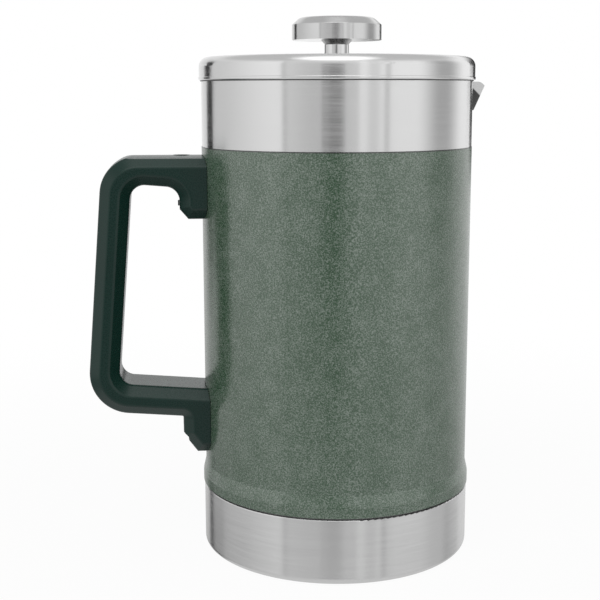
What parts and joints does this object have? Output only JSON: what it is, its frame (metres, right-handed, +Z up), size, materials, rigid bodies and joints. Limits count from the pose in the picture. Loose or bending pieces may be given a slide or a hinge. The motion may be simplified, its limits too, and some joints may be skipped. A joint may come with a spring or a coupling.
{
  "type": "french press",
  "caption": "Insulated steel french press: painted double-wall pot with a spout and a C handle, and a steel lid with a knob that pushes a mesh plunger.",
  "frame": {"origin": "centre of the flat ring that the base stands on, on the pot's axis", "axes": "+Z up along the pot's axis; the spout points along +X and the handle along -X"},
  "size_m": [0.1857, 0.1274, 0.248],
  "materials": {
    "brushed_shell": "fine vertical brushing, satin",
    "brushed_lid": "fine turned brushing, satin",
    "brushed_knob": "fine turned brushing, satin",
    "hammertone_paint": "grey-green hammertone enamel with fine dark speckle",
    "inner_steel": "drawn satin",
    "solder": "dull bead",
    "getter_metal": "dull sintered",
    "handle_plastic": "very dark green, fine moulded grain",
    "plug_plastic": "very dark green, fine moulded grain",
    "bracket_steel": "stamped, dull",
    "screw_steel": "bright",
    "lid_plastic": "black, fine moulded grain",
    "silicone": "black, dull",
    "polished_steel": "polished",
    "nut_steel": "machined",
    "core_plastic": "black",
    "knob_plate": "polished",
    "collar_steel": "polished",
    "filter_steel": "stamped satin",
    "mesh_steel": "fine woven wire",
    "spring_steel": "drawn wire"
  },
  "bodies": {
    "pot": {"base_cup": "brushed_shell", "outer_shell": "brushed_shell", "painted_coat": "hammertone_paint", "inner_liner": "inner_steel", "vacuum_base": "inner_steel", "vacuum_seal": "solder", "getter": "getter_metal", "spout": "brushed_shell", "handle": "handle_plastic", "handle_bracket_upper": "bracket_steel", "handle_bracket_lower": "bracket_steel", "handle_screws": "screw_steel", "screw_plug": "plug_plastic"},
    "gasket": {"lid_gasket": "silicone"},
    "lid": {"lid_cap": "brushed_lid", "lid_sleeve": "lid_plastic", "lid_plug": "lid_plastic", "rod_guide": "polished_steel", "guide_nut": "nut_steel"},
    "plunger": {"knob_cap": "brushed_knob", "knob_core": "core_plastic", "knob_base": "knob_plate", "knob_collar": "collar_steel", "plunger_rod": "polished_steel", "hub_nut": "nut_steel", "cross_plate": "filter_steel", "mesh_filter": "mesh_steel", "spring_plate": "filter_steel", "rim_spring": "spring_steel"}
  },
  "joints": [
    {"name": "lid_lift", "type": "slide", "parent": "pot", "child": "gasket", "axis": [0, 0, 1], "range_m": [0, 0.22]},
    {"name": "lid_turn", "type": "hinge", "parent": "gasket", "child": "lid", "pos_m": [0, 0, 0.226], "axis": [0, 0, 1], "continuous": true},
    {"name": "plunger_slide", "type": "slide", "parent": "lid", "child": "plunger", "axis": [0, 0, 1], "range_m": [0, 0.178]}
  ]
}
